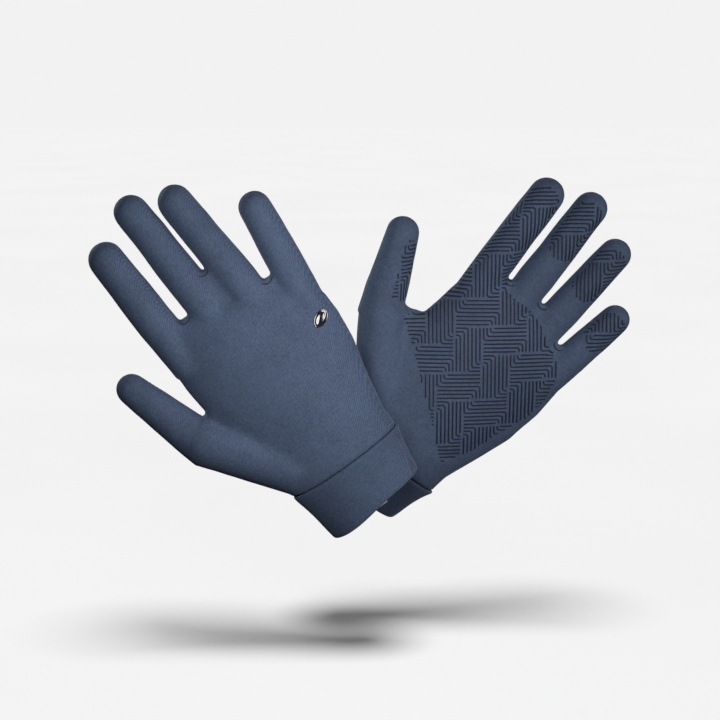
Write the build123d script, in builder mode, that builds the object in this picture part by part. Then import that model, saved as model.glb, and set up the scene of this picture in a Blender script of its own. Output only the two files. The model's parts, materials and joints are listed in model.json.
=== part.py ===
"""Pair of thin stretch-knit sailing gloves, held open as if worn, leaning apart in a V.

Millimetres, +Z up, +X from the right glove towards the left glove.  The origin is the middle
of the right glove's wrist opening.  The right glove shows the back of the hand to -Y, and the
left glove, which stands behind it, shows its palm to -Y.

Each glove is drawn in a flat map of its own: "across" runs from the thumb side to the little
finger, "up" runs from the wrist opening to the fingertips, and the thickness lies along Y.
"""
import os
from collections import namedtuple
from math import cos, radians, sin, tan

from build123d import *

os.makedirs("parts", exist_ok=True)

# ---------------------------------------------------------------- driving dimensions
WALL = 1.0  # knit fabric
CUFF_WALL = 1.6  # the cuff is the same fabric folded double
CUFF_HEIGHT = 34.0
CUFF_OPENING = (31.6, 19.0)  # half width and half thickness of the wrist opening
CUFF_LINER = 0.8  # seam allowance turned down inside the cuff
LINER_HEIGHT = 6.0
LINER_GAP = 0.15
PRINT = 0.4  # height of the silicone print
PRINT_START = 3.0  # the print on the hand stays this far from the glove's mid-plane
BADGE_HEIGHT = 0.9
BADGE_SIZE = (7.0, 11.0)
BADGE_PLACE = (39.0, 110.0)
BADGE_TURN = 64.0  # how far the badge leans towards the little finger
LABEL_SIZE = (16.0, 20.0, 0.5)
LABEL_UP = 13.0
FOLD = 70.0  # how far each finger joint folds towards the palm, in degrees
THUMB_FOLD = 50.0
JOINT_GAP = 0.4  # left open between the two sides of a finger joint
ROOT_DEPTH = 26.0  # how far a finger's tube runs back inside the hand
THUMB_DEPTH = 4.0  # the thumb's tube starts inside the round end of the ball of the thumb
PRINT_ARC = 116.0  # how far the print reaches round a fingertip, in degrees
GUSSET_BACK = 14.0  # the thumb gusset starts this far before the thumb's root
GUSSET_SIZE = (34.0, 60.0, 40.0)  # the space that the gusset takes up
TACK_SIZE = (9.0, 1.2, 0.8)  # bar of stitches in each finger crotch, sewn through the fabric
TACK_BACK = 2.5  # the bars lie this far towards the back of the hand
REACH = 40.0  # longer than any finger piece, to cut right through one

# A cross-section of the hand: up, across, half width, half thickness, tilt in degrees
Section = namedtuple("Section", "up across half_width half_thickness tilt")
# A finger: root and tip are (across, up) on its centre line; radii at those two places;
# knuckle and middle are the distances of its two joints from the root, which each fold this far
Finger = namedtuple("Finger", "root tip root_radius tip_radius knuckle middle fold", defaults=(FOLD,))
# A glove: side is the Y direction of its palm, lean is its tilt from upright
Glove = namedtuple("Glove", "wrist lean side sections thenar fingers print_outline")

RIGHT = Glove(
    wrist=(0.0, 0.0, 0.0),
    lean=-36.0,
    side=1,
    sections=(
        Section(CUFF_HEIGHT, 0.5, 36.5, 20.0, 0.0),
        Section(47.0, 0.5, 36.0, 18.5, 0.0),
        Section(66.0, 0.5, 40.0, 17.5, 0.0),
        Section(92.0, -1.0, 46.0, 16.5, 4.0),
        Section(118.0, -0.5, 48.5, 15.5, 8.0),
        Section(141.0, 0.0, 49.5, 13.5, 12.0),
    ),
    thenar=((-24.0, 48.0), 16.0, (-57.0, 88.0), 14.5),
    fingers={
        "index": Finger((-36.7, 147.3), (-39.8, 206.7), 11.4, 10.2, 12.0, 36.0),
        "middle": Finger((-11.1, 149.2), (-11.9, 219.8), 11.2, 9.9, 13.0, 43.0),
        "ring": Finger((14.2, 143.8), (9.9, 210.3), 11.2, 9.8, 13.0, 40.0),
        "little": Finger((38.0, 130.9), (45.4, 181.4), 10.4, 8.8, 11.0, 32.0),
        "thumb": Finger((-60.0, 91.3), (-74.6, 139.0), 13.2, 9.2, 12.0, 33.0, THUMB_FOLD),
    },
    print_outline=(
        (-44.0, 103.0), (-31.0, 94.0), (-12.0, 80.0), (6.0, 68.0), (22.0, 50.0),
        (33.0, 70.0), (39.0, 86.0), (44.0, 104.0), (46.0, 116.0), (43.0, 128.0),
        (36.0, 133.0), (27.0, 136.0), (14.0, 144.0), (-1.0, 147.0), (-15.0, 146.0),
        (-25.5, 148.0), (-26.5, 158.0), (-47.0, 158.0), (-47.5, 130.0), (-47.0, 114.0),
    ),
)
LEFT = Glove(
    wrist=(-19.5, 45.0, -3.0),
    lean=40.0,
    side=-1,
    sections=(
        Section(CUFF_HEIGHT, 1.5, 36.5, 20.0, 0.0),
        Section(47.0, 2.5, 36.5, 18.5, 0.0),
        Section(66.0, 5.0, 41.5, 17.5, 0.0),
        Section(92.0, 7.5, 46.0, 16.5, 4.0),
        Section(122.0, 12.0, 46.0, 15.5, 8.0),
        Section(149.0, 13.5, 45.5, 13.5, 11.0),
    ),
    thenar=((-18.0, 50.0), 17.0, (-52.0, 96.0), 15.5),
    fingers={
        "index": Finger((-20.5, 155.0), (-25.0, 214.4), 11.2, 10.2, 12.0, 36.0),
        "middle": Finger((3.2, 160.0), (-0.2, 224.5), 11.0, 9.9, 13.0, 42.0),
        "ring": Finger((27.2, 154.0), (29.2, 212.8), 11.0, 9.8, 13.0, 38.0),
        "little": Finger((49.0, 139.5), (55.0, 182.8), 10.0, 8.8, 11.0, 30.0),
        "thumb": Finger((-56.5, 102.0), (-75.9, 143.2), 13.4, 9.6, 11.0, 31.0, THUMB_FOLD),
    },
    print_outline=(
        (-41.0, 106.0), (-31.0, 100.0), (-13.5, 87.0), (2.0, 76.0), (29.0, 53.5),
        (39.5, 70.0), (45.5, 90.0), (52.5, 107.0), (53.5, 121.0), (50.0, 136.0),
        (44.0, 143.0), (34.0, 147.0), (22.0, 154.0), (10.0, 157.0), (-1.0, 156.0),
        (-8.0, 157.0), (-9.5, 166.0), (-29.5, 166.0), (-30.5, 140.0), (-36.0, 118.0),
    ),
)
GLOVES = {"right": RIGHT, "left": LEFT}


# ---------------------------------------------------------------- planes
def map_plane(glove):
    """The glove's own frame: X across, Y through the thickness, Z up to the fingertips."""
    turn = radians(glove.lean)
    return Plane(origin=glove.wrist, x_dir=(cos(turn), 0, -sin(turn)), z_dir=(sin(turn), 0, cos(turn)))


def place(glove, spot):
    """A point of the glove's mid-plane, from its (across, up) on the flat map."""
    return map_plane(glove).from_local_coords(Vector(spot[0], 0, spot[1]))


def face_plane(glove):
    """The glove's mid-plane seen as a flat map, X across and Y up, facing away from the palm or to it."""
    square = map_plane(glove)
    return Plane(origin=square.origin, x_dir=square.x_dir, z_dir=-square.y_dir)


def section_plane(glove, section, lift=0.0):
    """The plane of one cross-section of the hand, tilted down towards the little finger."""
    turn = radians(glove.lean + section.tilt)
    spot = (section.across, section.up + lift)
    return Plane(origin=place(glove, spot), x_dir=(cos(turn), 0, -sin(turn)), z_dir=(sin(turn), 0, cos(turn)))


def line_plane(start, end, distance=0.0):
    """A plane square to the line from start to end, this far along it, with Y kept as Y."""
    along = (end - start).normalized()
    return Plane(origin=start + along * distance, x_dir=Vector(0, 1, 0).cross(along), z_dir=along)


def finger_plane(glove, finger, distance=0.0):
    return line_plane(place(glove, finger.root), place(glove, finger.tip), distance)


def radial_plane(square, angle=0.0):
    """A plane that holds a tube's axis: X outwards at this angle, Y along the tube."""
    turn = radians(angle)
    outward = square.x_dir * cos(turn) + square.y_dir * sin(turn)
    return Plane(origin=square.origin, x_dir=outward, z_dir=outward.cross(square.z_dir))


# ---------------------------------------------------------------- shapes added to the open part
def finger_length(finger):
    """From the root to the centre of the round tip."""
    return (Vector(*finger.tip) - Vector(*finger.root)).length


def finger_radius(finger, distance):
    slope = (finger.tip_radius - finger.root_radius) / finger_length(finger)
    return finger.root_radius + slope * distance


def hand_core(glove, inset, mode=Mode.ADD):
    """Wrist to knuckles.  With an inset it is the hollow, which opens at the wrist."""
    outlines = []
    for section in glove.sections:
        at_end = section in (glove.sections[0], glove.sections[-1])
        lift = -max(inset, 0.0) if at_end else 0.0
        with BuildSketch(section_plane(glove, section, lift)) as outline:
            Ellipse(section.half_width - inset, section.half_thickness - inset)
        outlines.append(outline.sketch)
    loft(sections=outlines, mode=mode)


def cone(square, start, start_radius, end, end_radius, mode=Mode.ADD):
    """A solid tapered round bar on the plane's axis, between two distances along it."""
    with BuildSketch(radial_plane(square)) as profile:
        with BuildLine():
            Polyline((0, start), (start_radius, start), (end_radius, end), (0, end), close=True)
        make_face()
    revolve(profile.sketch, axis=Axis(square.origin, square.z_dir), mode=mode)


def hand_form(glove, inset, mode=Mode.ADD):
    """The hand with the thumb's ball and the stubs of the fingers up to their first joints."""
    hand_core(glove, inset, mode)
    low, low_radius, high, high_radius = glove.thenar
    start, end = place(glove, low), place(glove, high)
    cone(line_plane(start, end), 0, low_radius - inset, (end - start).length, high_radius - inset, mode)
    with Locations(end):
        Sphere(high_radius - inset, mode=mode)
    for key, finger in glove.fingers.items():
        bottom = -THUMB_DEPTH if key == "thumb" else -ROOT_DEPTH
        top = finger.knuckle
        square = finger_plane(glove, finger)
        cone(square, bottom, finger.root_radius - inset, top, finger_radius(finger, top) - inset, mode)


def fold_cut(glove, finger, joint, side, gap=JOINT_GAP):
    """Cuts off all past a finger joint (side 1) or all before it (side -1).

    The two sides meet squarely on the back of the finger.  Towards the palm each slopes away by
    half of the fold, so that they close up on each other when the finger is folded.
    """
    square = finger_plane(glove, finger, joint)
    reach = 2 * finger.root_radius
    slope = tan(radians(finger.fold / 2))
    edge = -side * gap / 2
    across = square.x_dir * glove.side
    with BuildSketch(Plane(origin=square.origin, x_dir=square.y_dir * glove.side, z_dir=across)) as waste:
        with BuildLine():
            Polyline(
                (-reach, edge), (0, edge), (reach, edge - side * slope * reach),
                (reach, side * REACH), (-reach, side * REACH), close=True,
            )
        make_face()
    extrude(waste.sketch, amount=finger.root_radius + 1, both=True, mode=Mode.SUBTRACT)


def hand_shell(glove, outer_inset, inner_inset):
    """The wall of the hand between two insets, open at the wrist and at each finger."""
    hand_form(glove, outer_inset)
    hand_form(glove, inner_inset, Mode.SUBTRACT)
    for finger in glove.fingers.values():
        fold_cut(glove, finger, finger.knuckle, 1)


def tube_wall(glove, finger, start, end, outer_inset, inner_inset, arc=360.0):
    """The wall of a finger piece between two insets; a part turn is centred on the palm side."""
    square = finger_plane(glove, finger)
    begin = 0.0 if arc == 360.0 else 90.0 * glove.side - arc / 2
    start_radius, end_radius = finger_radius(finger, start), finger_radius(finger, end)
    with BuildSketch(radial_plane(square, begin)) as wall:
        with BuildLine():
            Polyline(
                (start_radius - inner_inset, start), (start_radius - outer_inset, start),
                (end_radius - outer_inset, end), (end_radius - inner_inset, end), close=True,
            )
        make_face()
    revolve(wall.sketch, axis=Axis(square.origin, square.z_dir), revolution_arc=arc)


def tip_wall(glove, finger, outer_inset, inner_inset, arc=360.0):
    """The wall of a fingertip with its round end."""
    square = finger_plane(glove, finger)
    begin = 0.0 if arc == 360.0 else 90.0 * glove.side - arc / 2
    start, end = finger.middle, finger_length(finger)
    with BuildSketch(radial_plane(square, begin)) as wall:
        for inset, mode in ((outer_inset, Mode.ADD), (inner_inset, Mode.SUBTRACT)):
            radius = finger.tip_radius - inset
            with BuildLine():
                side = Polyline((0, start), (finger_radius(finger, start) - inset, start), (radius, end))
                dome = RadiusArc(side @ 1, (0, end + radius), -radius)
                Line(dome @ 1, side @ 0)
            make_face(mode=mode)
    revolve(wall.sketch, axis=Axis(square.origin, square.z_dir), revolution_arc=arc)


def cuff_tube(glove, start, end, inset, mode=Mode.ADD):
    """A solid stretch of the cuff, which widens evenly from the wrist opening to its seam."""
    seam = glove.sections[0]
    outlines = []
    for height in (start, end):
        share = height / CUFF_HEIGHT
        spot = (seam.across * share, height)
        upright = map_plane(glove)
        level = Plane(origin=place(glove, spot), x_dir=upright.x_dir, z_dir=upright.z_dir)
        half_width = CUFF_OPENING[0] + (seam.half_width - CUFF_OPENING[0]) * share
        half_thickness = CUFF_OPENING[1] + (seam.half_thickness - CUFF_OPENING[1]) * share
        with BuildSketch(level) as outline:
            Ellipse(half_width - inset, half_thickness - inset)
        outlines.append(outline.sketch)
    loft(sections=outlines, ruled=True, mode=mode)


def gusset_space(glove, mode):
    """The block of space round the thumb's root that the set-in thumb gusset takes up."""
    width, thickness, height = GUSSET_SIZE
    thumb = glove.fingers["thumb"]
    with BuildSketch(finger_plane(glove, thumb, -GUSSET_BACK)) as floor:
        Rectangle(width, thickness)
    extrude(floor.sketch, amount=height, mode=mode)


def back_half(glove):
    """Keeps the half of the open part that lies on the back of the hand."""
    middle = face_plane(glove)
    split(bisect_by=middle, keep=Keep.TOP if glove.side > 0 else Keep.BOTTOM)


def palm_half(glove):
    middle = face_plane(glove)
    split(bisect_by=middle, keep=Keep.BOTTOM if glove.side > 0 else Keep.TOP)


def save(part, label):
    part.label = label
    export_step(part, f"parts/{label}.step")


# ---------------------------------------------------------------- the pieces
for name, glove in GLOVES.items():
    with BuildPart() as back_panel:
        hand_shell(glove, 0, WALL)
        gusset_space(glove, Mode.SUBTRACT)
        back_half(glove)
    save(back_panel.part, f"{name}_back_panel")

    with BuildPart() as palm_panel:
        hand_shell(glove, 0, WALL)
        gusset_space(glove, Mode.SUBTRACT)
        palm_half(glove)
    save(palm_panel.part, f"{name}_palm_panel")

    with BuildPart() as thumb_gusset:
        hand_shell(glove, 0, WALL)
        gusset_space(glove, Mode.INTERSECT)
    save(thumb_gusset.part, f"{name}_thumb_gusset")

    with BuildPart() as palm_print:
        hand_shell(glove, -PRINT, 0)
        with BuildSketch(face_plane(glove).offset(-PRINT_START * glove.side)):
            with BuildLine():
                Polyline(*glove.print_outline, close=True)
            make_face()
        extrude(amount=-REACH * glove.side, mode=Mode.INTERSECT)
    save(palm_print.part, f"{name}_palm_print")

    with BuildPart() as badge:
        hand_shell(glove, -BADGE_HEIGHT, 0)
        with BuildSketch(face_plane(glove)):
            with Locations(BADGE_PLACE):
                SlotOverall(BADGE_SIZE[1], BADGE_SIZE[0], rotation=90 - BADGE_TURN)
        extrude(amount=REACH * glove.side, mode=Mode.INTERSECT)
    save(badge.part, f"{name}_badge")

    with BuildPart() as cuff_band:
        cuff_tube(glove, 0, CUFF_HEIGHT, 0)
        cuff_tube(glove, 0, CUFF_HEIGHT, CUFF_WALL, Mode.SUBTRACT)
    save(cuff_band.part, f"{name}_cuff_band")

    with BuildPart() as cuff_liner:
        cuff_tube(glove, CUFF_HEIGHT - LINER_HEIGHT, CUFF_HEIGHT, CUFF_WALL + LINER_GAP)
        cuff_tube(
            glove, CUFF_HEIGHT - LINER_HEIGHT, CUFF_HEIGHT, CUFF_WALL + LINER_GAP + CUFF_LINER, Mode.SUBTRACT
        )
    save(cuff_liner.part, f"{name}_cuff_liner")

    with BuildPart() as care_label:
        with BuildSketch(map_plane(glove).offset(LABEL_UP - LABEL_SIZE[1] / 2)):
            with Locations((0, -glove.side * (CUFF_OPENING[1] - CUFF_WALL - 2.0))):
                Rectangle(LABEL_SIZE[0], LABEL_SIZE[2])
        extrude(amount=LABEL_SIZE[1])
    save(care_label.part, f"{name}_care_label")

    knuckles = glove.sections[-1]
    row = [glove.fingers[key] for key in ("index", "middle", "ring", "little")]
    with BuildPart() as crotch_tacks:
        with BuildSketch(section_plane(glove, knuckles)):
            for first, second in zip(row, row[1:]):
                across = (first.root[0] + second.root[0]) / 2 - knuckles.across
                with Locations((across / cos(radians(knuckles.tilt)), -TACK_BACK * glove.side)):
                    SlotOverall(TACK_SIZE[0], TACK_SIZE[1], rotation=90)
        extrude(amount=TACK_SIZE[2])
    save(crotch_tacks.part, f"{name}_crotch_tacks")

    for key, finger in glove.fingers.items():
        with BuildPart() as lower:
            tube_wall(glove, finger, finger.knuckle, finger.middle, 0, WALL)
            fold_cut(glove, finger, finger.knuckle, -1)
            fold_cut(glove, finger, finger.middle, 1)
        save(lower.part, f"{name}_{key}_lower")

        with BuildPart() as tip:
            tip_wall(glove, finger, 0, WALL)
            fold_cut(glove, finger, finger.middle, -1)
        save(tip.part, f"{name}_{key}_tip")

        with BuildPart() as tip_print:
            tip_wall(glove, finger, -PRINT, 0, PRINT_ARC)
            fold_cut(glove, finger, finger.middle, -1)
        save(tip_print.part, f"{name}_{key}_tip_print")

        if key in ("index", "thumb"):
            with BuildPart() as lower_print:
                tube_wall(glove, finger, finger.knuckle, finger.middle, -PRINT, 0, PRINT_ARC)
                fold_cut(glove, finger, finger.knuckle, -1)
                fold_cut(glove, finger, finger.middle, 1)
            save(lower_print.part, f"{name}_{key}_lower_print")
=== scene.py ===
# %% [markdown]
# # A pair of knit sailing gloves
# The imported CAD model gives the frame: where each glove stands, where its fingers fold, and how thick
# each finger is. This lesson dresses that frame in one smooth knit skin for each glove, cuts the skin
# into the pieces that move, and adds the folded cuff, the silicone print, the badge and the label.

# %% Load the frame
import json
import math

import bpy
import numpy as np
from mathutils import Matrix, Vector, noise
from mathutils.bvhtree import BVHTree


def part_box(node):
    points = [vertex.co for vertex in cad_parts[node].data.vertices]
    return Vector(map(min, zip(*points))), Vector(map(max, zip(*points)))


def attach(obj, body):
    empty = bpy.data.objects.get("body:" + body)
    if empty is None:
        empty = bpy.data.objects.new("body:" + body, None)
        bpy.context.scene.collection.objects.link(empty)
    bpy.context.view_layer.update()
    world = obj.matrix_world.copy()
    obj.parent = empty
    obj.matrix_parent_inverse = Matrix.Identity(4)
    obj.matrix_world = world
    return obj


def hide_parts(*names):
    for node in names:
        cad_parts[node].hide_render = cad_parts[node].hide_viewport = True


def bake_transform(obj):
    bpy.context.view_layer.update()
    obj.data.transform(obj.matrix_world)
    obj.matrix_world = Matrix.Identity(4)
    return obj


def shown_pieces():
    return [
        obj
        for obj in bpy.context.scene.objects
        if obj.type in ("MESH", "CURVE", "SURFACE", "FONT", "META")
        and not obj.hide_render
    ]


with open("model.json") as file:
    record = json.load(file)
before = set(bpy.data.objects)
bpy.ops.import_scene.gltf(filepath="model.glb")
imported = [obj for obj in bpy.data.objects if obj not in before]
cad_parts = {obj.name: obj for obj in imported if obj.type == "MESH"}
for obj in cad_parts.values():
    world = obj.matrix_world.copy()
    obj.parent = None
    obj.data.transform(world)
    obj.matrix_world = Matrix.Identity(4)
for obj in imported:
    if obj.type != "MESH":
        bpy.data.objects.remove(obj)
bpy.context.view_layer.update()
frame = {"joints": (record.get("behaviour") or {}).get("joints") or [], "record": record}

MM = 0.001
record = frame["record"]
joints = {joint["name"]: joint for joint in frame["joints"]}
mounts = {mount["name"]: mount for mount in record["mounts"]}
FINGERS = ("index", "middle", "ring", "little", "thumb")
SIDES = ("right", "left")

# %% [markdown]
# ## Small helpers
# A person clicks on an object, goes into edit mode and works. A script has to say which object is
# chosen, so these helpers deselect everything first and then choose one.


# %% Choosing objects and applying modifiers
def choose(*objects):
    """Only these are selected, and the first is the active one."""
    if bpy.context.object and bpy.context.object.mode != "OBJECT":
        bpy.ops.object.mode_set(mode="OBJECT")
    bpy.ops.object.select_all(action="DESELECT")
    for chosen in objects:
        chosen.select_set(True)
    bpy.context.view_layer.objects.active = objects[0]


def finish_modifier(obj, name, kind, **settings):
    """Adds a modifier with these settings and applies it."""
    modifier = obj.modifiers.new(name, kind)
    for key, value in settings.items():
        setattr(modifier, key, value)
    choose(obj)
    bpy.ops.object.modifier_apply(modifier=modifier.name)


def copy_of(obj, name):
    """A copy with its own mesh."""
    twin = obj.copy()
    twin.data = obj.data.copy()
    twin.name = name
    bpy.context.scene.collection.objects.link(twin)
    return twin


def positions(obj):
    """The vertices as an array of points."""
    points = np.zeros(len(obj.data.vertices) * 3)
    obj.data.vertices.foreach_get("co", points)
    return points.reshape(-1, 3)


def set_positions(obj, points):
    obj.data.vertices.foreach_set("co", points.ravel())
    obj.data.update()


def bumps(point, size, seed):
    """Soft noise from -1 to 1, the same in every run."""
    return noise.noise(Vector(point) / size + Vector((seed, seed * 0.7, seed * 1.3)))


# %% [markdown]
# ## The frame of each glove
# Both gloves lean, so each is modelled upright in a flat map of its own and set in its place at the
# end. On the map X runs across to the little finger, Y through the thickness and Z up to the
# fingertips. The wrist mounts of the record give the place and the lean, and the joints give the
# centre line of every finger.


# %% Read the fingers from the joints and boxes
def glove_map(side):
    """The matrix that carries the upright map of a glove to its place."""
    mount = mounts[f"{side}_wrist_opening"]
    up = -Vector(mount["axis"])
    thickness = Vector((0, 1, 0))
    across = thickness.cross(up)
    matrix = Matrix((across, thickness, up)).transposed().to_4x4()
    matrix.translation = Vector(mount["pos_m"])
    return matrix


def read_finger(side, key):
    """A finger on the map: its two joints, direction, length to the centre of its round tip, radii."""
    to_map = glove_map(side).inverted()
    knuckle_place = Vector(joints[f"{side}_{key}_knuckle"]["pos_m"])
    middle_place = Vector(joints[f"{side}_{key}_middle_joint"]["pos_m"])
    back = -PALM[side]
    radii = []
    for node, place in ((f"{side}_{key}_lower", knuckle_place), (f"{side}_{key}_tip", middle_place)):
        low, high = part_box(node)
        radii.append(abs((high if back > 0 else low).y - place.y))
    span = (middle_place - knuckle_place).length
    taper = (radii[1] - radii[0]) / span
    direction = (middle_place - knuckle_place) / span
    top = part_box(f"{side}_{key}_tip")[1].z
    length = (top - knuckle_place.z - radii[0]) / (direction.z + taper)
    along = (to_map.to_3x3() @ direction).normalized()
    across = Vector((0, 1, 0)).cross(along)
    root_shift, tip_shift, longer, wider = FIT[side][key]
    knuckle = to_map @ knuckle_place + across * root_shift * MM
    along = (along * length + across * (tip_shift - root_shift) * MM).normalized()
    return {
        "knuckle": knuckle, "along": along, "across": Vector((0, 1, 0)).cross(along), "span": span,
        "length": length + longer * MM, "radius": radii[0] + wider * MM, "taper": taper,
    }


PALM = {"right": 1, "left": -1}  # the Y direction that each palm faces
# how the soft skin of each finger differs from the plain CAD tube, in millimetres: shift across at
# the root and at the tip, extra length, extra radius
FIT = {
    "right": {
        "index": (-1.8, -0.3, 0.2, 0.2), "middle": (0.5, -0.3, 0.1, 0.1), "ring": (0.2, 1.1, -0.3, 0.2),
        "little": (0.7, 0.0, 0.0, 0.6), "thumb": (0.2, 1.0, -0.1, -0.1),
    },
    "left": {
        "index": (-1.2, -0.2, -0.2, 0.4), "middle": (0.1, 0.1, 0.2, 0.2), "ring": (-0.3, -0.3, 0.9, 0.0),
        "little": (-0.2, -0.4, 1.7, 0.3), "thumb": (-0.6, 0.0, -0.2, 0.3),
    },
}
fingers = {side: {key: read_finger(side, key) for key in FINGERS} for side in SIDES}
for key, finger in fingers["right"].items():
    print(key, "radius", round(finger["radius"], 4), "length past the knuckle", round(finger["length"], 4))

# %% [markdown]
# ## The body of the hand
# A glove that is filled out has soft oval sections. The hand could be sculpted from a ball, but a few
# measured sections keep both gloves true to the CAD widths, so a circle is extruded from the wrist
# seam to the knuckles, and each new ring is sized, tilted and moved. The ball of the thumb, the
# thumb and the fingers are grown the same way, as closed tubes that run into one another.

# %% Rings of the hand
# up, across, half width, half thickness (millimetres), tilt (degrees)
HAND_RINGS = {
    "right": (
        (20.0, 0.5, 33.0, 17.5, 0.0), (34.0, 0.3, 36.6, 19.6, 0.0), (46.0, -1.6, 38.2, 18.2, 0.0),
        (66.0, 0.2, 40.6, 17.5, 0.0), (92.0, -0.4, 46.9, 16.4, 4.0), (114.0, 0.2, 49.0, 14.9, 8.0),
        (129.0, 0.4, 49.4, 12.8, 12.0), (140.0, 0.4, 47.6, 10.9, 14.0), (146.0, 0.6, 42.0, 8.0, 15.0),
    ),
    "left": (
        (20.0, 1.0, 33.0, 17.5, 0.0), (34.0, 2.0, 37.0, 19.6, 0.0), (46.0, 3.0, 37.2, 18.2, 0.0),
        (66.0, 5.5, 41.5, 17.5, 0.0), (92.0, 7.5, 46.8, 16.4, 4.0), (118.0, 11.8, 46.2, 14.9, 8.0),
        (136.0, 13.2, 45.4, 12.8, 11.0), (147.0, 13.6, 43.6, 10.9, 12.0), (152.5, 13.4, 39.0, 8.0, 12.0),
    ),
}
# the ball of the thumb: start across and up, radius, end across and up, radius
THUMB_BALL = {
    "right": ((-23.0, 45.5), 16.4, (-56.8, 89.5), 15.2),
    "left": ((-17.0, 52.0), 16.3, (-52.3, 97.0), 15.0),
}
# the web between thumb and hand: start across and up, end across and up, radius
THUMB_WEB = {"right": ((-62.0, 91.0), (-38.0, 96.5), 9.5), "left": ((-58.0, 98.0), (-30.0, 106.5), 9.5)}
# the webs between the four fingers: how far each rises past the line of the knuckles
FINGER_WEBS = {"right": (-6.0, 10.5, -3.4), "left": (-7.5, -6.0, -7.0)}
FLAT_FINGER = 0.95  # thickness of a finger as a share of its width
ROW = ("index", "middle", "ring", "little")
ROOT_RUN = 30.0 * MM  # a finger's tube starts this far inside the hand
THUMB_ROOT_RUN = 18.0 * MM
ROOT_SHRINK = 0.88  # the hidden end of the tube is slimmer, so that it doesn't break through the skin
WEB_WIDTHS = (9.0 * MM, 5.0 * MM)  # half width of a web between fingers, low and high
WEB_THICKNESS = 6.5 * MM
FLAT_WEB = 0.8


def grow_tube(name, rings, sides=32, ends="NGON"):
    """A tube through rings of (centre, half width, half thickness, tilt about Y)."""
    bpy.ops.object.select_all(action="DESELECT")
    bpy.ops.mesh.primitive_circle_add(vertices=sides, radius=1.0, fill_type=ends)
    tube = bpy.context.object
    tube.name = name
    bpy.ops.object.mode_set(mode="EDIT")
    bpy.ops.mesh.select_mode(type="VERT")
    bpy.ops.mesh.select_all(action="SELECT")
    centre, width, thickness, tilt = Vector((0, 0, 0)), 1.0, 1.0, 0.0
    for number, (new_centre, new_width, new_thickness, new_tilt) in enumerate(rings):
        step = Vector(new_centre) - centre
        if number:
            bpy.ops.mesh.extrude_region_move(TRANSFORM_OT_translate={"value": step})
            bpy.ops.transform.rotate(value=tilt, orient_axis="Y", center_override=new_centre)
        else:
            bpy.ops.transform.translate(value=step)
        size = (new_width / width, new_thickness / thickness, 1)
        bpy.ops.transform.resize(value=size, center_override=new_centre)
        bpy.ops.transform.rotate(value=-new_tilt, orient_axis="Y", center_override=new_centre)
        centre, width, thickness, tilt = Vector(new_centre), new_width, new_thickness, new_tilt
    bpy.ops.mesh.select_all(action="SELECT")
    bpy.ops.mesh.normals_make_consistent(inside=False)
    bpy.ops.object.mode_set(mode="OBJECT")
    return tube


def dome_rings(start, along, radius, flat, tilt, steps=5):
    """The rings of a round end of this radius that starts at this centre."""
    rings = []
    for step in range(1, steps + 1):
        angle = step / (steps + 0.35) * math.pi / 2
        place = start + along * radius * math.sin(angle)
        rings.append((place, radius * math.cos(angle), flat * radius * math.cos(angle), tilt))
    return rings


def finger_rings(finger):
    """From inside the hand to the round tip."""
    along, tilt = finger["along"], math.atan2(finger["along"].x, finger["along"].z)
    rings = []
    for share in (-ROOT_RUN / finger["length"], 0.0, 0.5, 1.0):
        distance = share * finger["length"]
        radius = finger["radius"] + finger["taper"] * distance
        radius *= ROOT_SHRINK if share < 0 else 1.0
        rings.append((finger["knuckle"] + along * distance, radius, radius * FLAT_FINGER, tilt))
    return rings + dome_rings(rings[-1][0], along, rings[-1][1], FLAT_FINGER, tilt)


def line_on_map(low, high):
    """The ends, the direction and the tilt of a line given across and up, in millimetres."""
    start, end = Vector((low[0], 0, low[1])) * MM, Vector((high[0], 0, high[1])) * MM
    along = (end - start).normalized()
    return start, end, along, math.atan2(along.x, along.z)


def hand_parts(side):
    """The tubes that the skin of one glove is made of."""
    rings = []
    for up, across, half_width, half_thickness, tilt in HAND_RINGS[side]:
        centre = Vector((across, 0, up)) * MM
        rings.append((centre, half_width * MM, half_thickness * MM, math.radians(tilt)))
    parts = [grow_tube("hand", rings, 64)]
    low, low_radius, high, high_radius = THUMB_BALL[side]
    start, end, along, tilt = line_on_map(low, high)
    ball = [(start, low_radius * MM, low_radius * MM, tilt), (end, high_radius * MM, high_radius * MM, tilt)]
    parts.append(grow_tube("ball", ball + dome_rings(end, along, high_radius * MM, 1.0, tilt)))
    low, high, radius = THUMB_WEB[side]
    start, end, along, tilt = line_on_map(low, high)
    web = [(place, radius * MM, radius * FLAT_WEB * MM, tilt) for place in (start, end)]
    parts.append(grow_tube("thumb_web", web))
    for rise, first, second in zip(FINGER_WEBS[side], ROW, ROW[1:]):
        first, second = fingers[side][first], fingers[side][second]
        middle = (first["knuckle"] + second["knuckle"]) / 2
        upward = (first["along"] + second["along"]).normalized()
        places = (middle - upward * ROOT_RUN, middle + upward * rise * MM)
        web = [(place, width, WEB_THICKNESS, 0.0) for place, width in zip(places, WEB_WIDTHS)]
        parts.append(grow_tube("finger_web", web))
    for key, finger in fingers[side].items():
        rings = finger_rings(finger)
        if key == "thumb":
            rings[0] = (finger["knuckle"] - finger["along"] * THUMB_ROOT_RUN, *rings[0][1:])
        parts.append(grow_tube(key, rings))
    return parts


# %% [markdown]
# ## One skin over all the tubes
# Joining the tubes leaves hard creases where they meet, and knit fabric bridges such creases. A voxel
# remesh turns them into one even mesh, and smoothing draws it tight like stretched cloth. The first
# ring below the wrist seam is only there to hold the shape, and is cut off again.

# %% Remesh and smooth
VOXEL = 0.95 * MM
WRIST_SEAM = 34.0 * MM
TIGHT_ABOVE = {"right": 172.0 * MM, "left": 178.0 * MM}  # only below this the flat sides are smoothed more


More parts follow.
